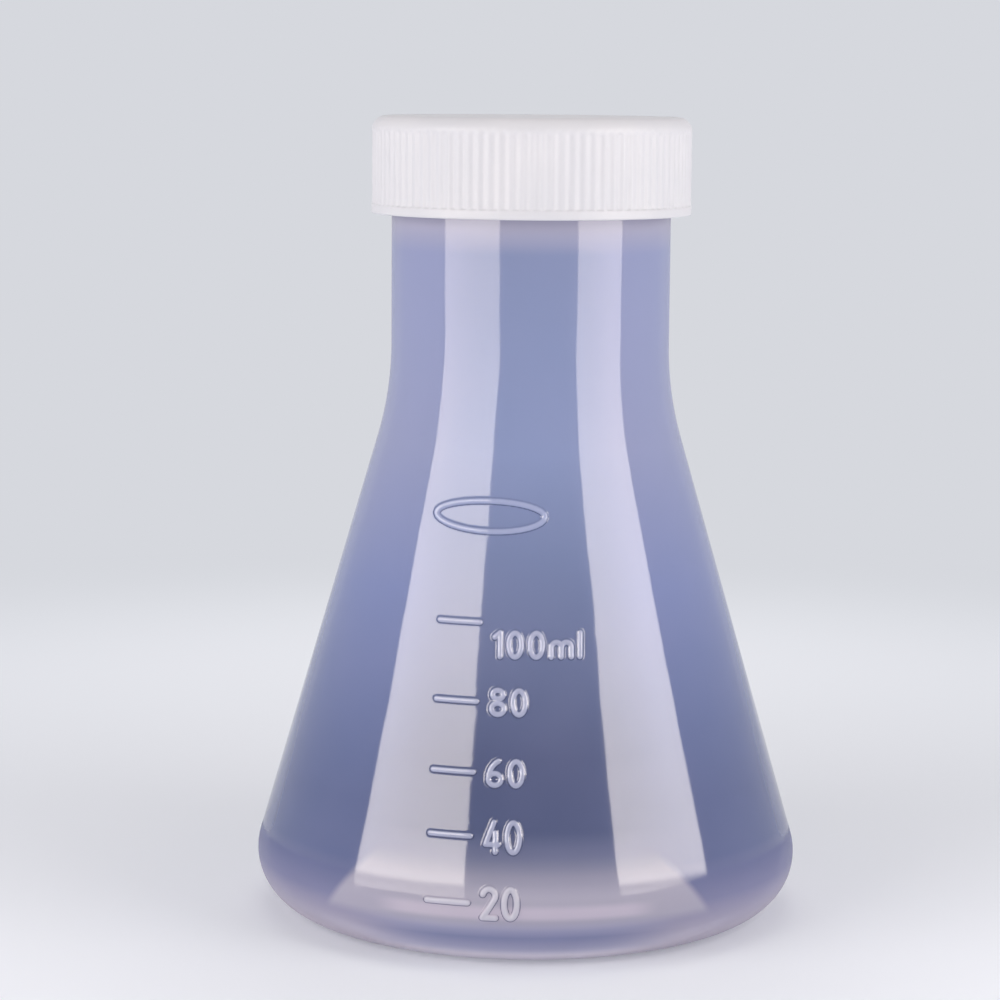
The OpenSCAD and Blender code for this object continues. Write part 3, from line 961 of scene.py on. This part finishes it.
floor_mesh = bpy.data.meshes.new("studio_floor")
disc = bmesh.new()
bmesh.ops.create_circle(disc, cap_ends=True, segments=96, radius=FLOOR_R)
disc.to_mesh(floor_mesh)
disc.free()
studio_floor = bpy.data.objects.new("studio_floor", floor_mesh)
bpy.context.scene.collection.objects.link(studio_floor)
studio_floor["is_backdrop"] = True

paper = bpy.data.materials.new("matt_paper_sweep")
paper.use_nodes = True
tree = paper.node_tree
tree.nodes.clear()
spot = add(tree, "ShaderNodeTexCoord").outputs["Object"]
away = add(tree, "ShaderNodeVectorMath", {"operation": "LENGTH"}, in_0=spot)
glow = where(tree, (away, 0.04, 0.24, 0.28, 0.66))
matt = add(
    tree, "ShaderNodeBsdfPrincipled",
    Base_Color=linear(PAPER), Roughness=1.0, Specular_IOR_Level=0.0,
    Emission_Color=linear(PAPER), Emission_Strength=glow,
)
even = add(tree, "ShaderNodeEmission", Color=linear(PAPER), Strength=1.0)
far = where(tree, (away, 0.07, 0.28, 0.0, 1.0))
sweep = add(tree, "ShaderNodeMixShader", in_0=far, in_1=matt, in_2=even)
add(tree, "ShaderNodeOutputMaterial", Surface=sweep)
floor_mesh.materials.append(paper)
print(studio_floor.name, "is", 2 * FLOOR_R, "m across")

# %% The surround
FILL = 0.31

world = bpy.data.worlds.new("studio_surround")
bpy.context.scene.world = world
world.use_nodes = True
tree = world.node_tree
tree.nodes.clear()
rays = add(tree, "ShaderNodeLightPath").outputs
seen = add(tree, "ShaderNodeMath", PLUS, in_0=rays["Is Camera Ray"], in_1=rays["Is Glossy Ray"])
seen = add(tree, "ShaderNodeMath", PLUS, in_0=seen, in_1=rays["Is Transmission Ray"])
direction = add(tree, "ShaderNodeTexCoord").outputs["Generated"]
toward = add(tree, "ShaderNodeSeparateXYZ", Vector=direction).outputs["Y"]
behind = where(tree, (toward, -0.9, 0.3, 0.2 * FILL, 1.25 * FILL))
dim = add(tree, "ShaderNodeBackground", Color=linear("#EDEFF4"), Strength=behind)
bright = add(tree, "ShaderNodeBackground", Color=linear(PAPER), Strength=1.0)
both = add(tree, "ShaderNodeMixShader", in_0=seen, in_1=dim, in_2=bright)
add(tree, "ShaderNodeOutputWorld", Surface=both)
print(world.name, "has", len(tree.nodes), "nodes")

# %% [markdown]
# ## Lamps
#
# Two softboxes stand close in front, one on each side, and draw the two long stripes on the
# wall. In a real one the middle glares more than the whole box lights, so each is made of
# two lamps: one that only matt surfaces see, and 1 mm ahead of it a bright face that only
# glossy ones see. Two plain lamps, overhead and behind, light the top of the cap and the
# back of the flask and show in no reflection.


# %% Hanging a lamp
def hang_lamp(name, width, height, radiance, colour, place, matt, glossy):
    """An area lamp, sizes in millimetres, whose face has the given radiance."""
    lamp = bpy.data.lights.new(name, "AREA")
    lamp.shape, lamp.size, lamp.size_y = "RECTANGLE", width * MM, height * MM
    lamp.energy = radiance * math.pi * lamp.size * lamp.size_y
    lamp.color = linear(colour)[:3]
    stand = bpy.data.objects.new(name, lamp)
    bpy.context.scene.collection.objects.link(stand)
    stand.matrix_world = place
    stand.visible_camera, stand.visible_diffuse, stand.visible_glossy = False, matt, glossy
    print(name, width, "by", height, "mm,", round(lamp.energy, 2), "W")


def moved_to(x, y, z):
    """A move by millimetres."""
    return Matrix.Translation(Vector((x, y, z)) * MM)


def aimed(direction):
    """The turn that points a lamp along a direction."""
    return direction.to_track_quat("-Z", "Y").to_matrix().to_4x4()


# %% The two softboxes
MATT_LIGHT, PANEL_GLARE = 3.4, 8.4
MATT_COLOUR, FACE_COLOUR = "#FFFAF6", "#FFF5EC"
SOFTBOX_Z = 100


def softbox(name, x, y, heading, roll, width, low, high):
    """A lamp for matt surfaces and a face for glossy ones, from low to high about SOFTBOX_Z."""
    heading, roll = math.radians(heading), math.radians(roll)
    aim = aimed(Vector((math.cos(heading), math.sin(heading), 0))) @ Matrix.Rotation(-roll, 4, "Z")
    for part, radiance, colour, ahead in (
        ("light", MATT_LIGHT, MATT_COLOUR, 0), ("face", PANEL_GLARE, FACE_COLOUR, 1),
    ):
        place = moved_to(x, y, SOFTBOX_Z) @ aim @ moved_to(0, (low + high) / 2, -ahead)
        hang_lamp(
            f"{name}_{part}", width, high - low, radiance, colour, place,
            part == "light", part == "face",
        )


softbox("softbox_left", -158.7, -139.0, 38.7, -9.5, 182.9, -66, 100)
softbox("softbox_right", 133.1, -89.0, 148.7, 1.6, 113.5, -66, 85)

# %% The two plain lamps
AIM_Z = 50
for name, x, y, z, size, radiance in (
    ("overhead_light", 0, 0, 300, 240, 1.2), ("back_light", 0, 260, 150, 200, 1.3),
):
    place = moved_to(x, y, z) @ aimed(Vector((-x, -y, AIM_Z - z)))
    hang_lamp(name, size, size, radiance, MATT_COLOUR, place, True, False)

# %% [markdown]
# ## Camera
#
# The camera looks a little down on the flask from the front, so the marks, the cap's skirt
# and the rounded heel are all in view. It could stand nearer with a wide lens, but a long
# one keeps the sides of the cone straight and the neck from looking too large.

# %% Camera
LENS_MM, SENSOR_MM = 109.35, 36.0
CAMERA_AT = (0, -0.36931, 0.10120)
PITCH, YAW, ROLL = math.radians(7.877), math.radians(0.545), math.radians(0.464)

camera_data = bpy.data.cameras.new("camera")
camera_data.lens, camera_data.sensor_width = LENS_MM, SENSOR_MM
camera_data.clip_start, camera_data.clip_end = 0.01, 50.0
camera = bpy.data.objects.new("camera", camera_data)
bpy.context.scene.collection.objects.link(camera)
tilt = Matrix.Rotation(math.pi / 2 - PITCH, 4, "X") @ Matrix.Rotation(ROLL, 4, "Z")
camera.matrix_world = Matrix.Translation(CAMERA_AT) @ Matrix.Rotation(YAW, 4, "Z") @ tilt
bpy.context.scene.camera = camera
bpy.context.scene.view_settings.view_transform = "Standard"
print("the camera stands", round(-CAMERA_AT[1], 3), "m in front of the flask")

# %% Compare the sizes and finish
new_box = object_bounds()
boxes = {"cad": cad_box, "visual": new_box}
for name, box in boxes.items():
    print(name, "box", [[round(c * 1000, 2) for c in corner] for corner in box])
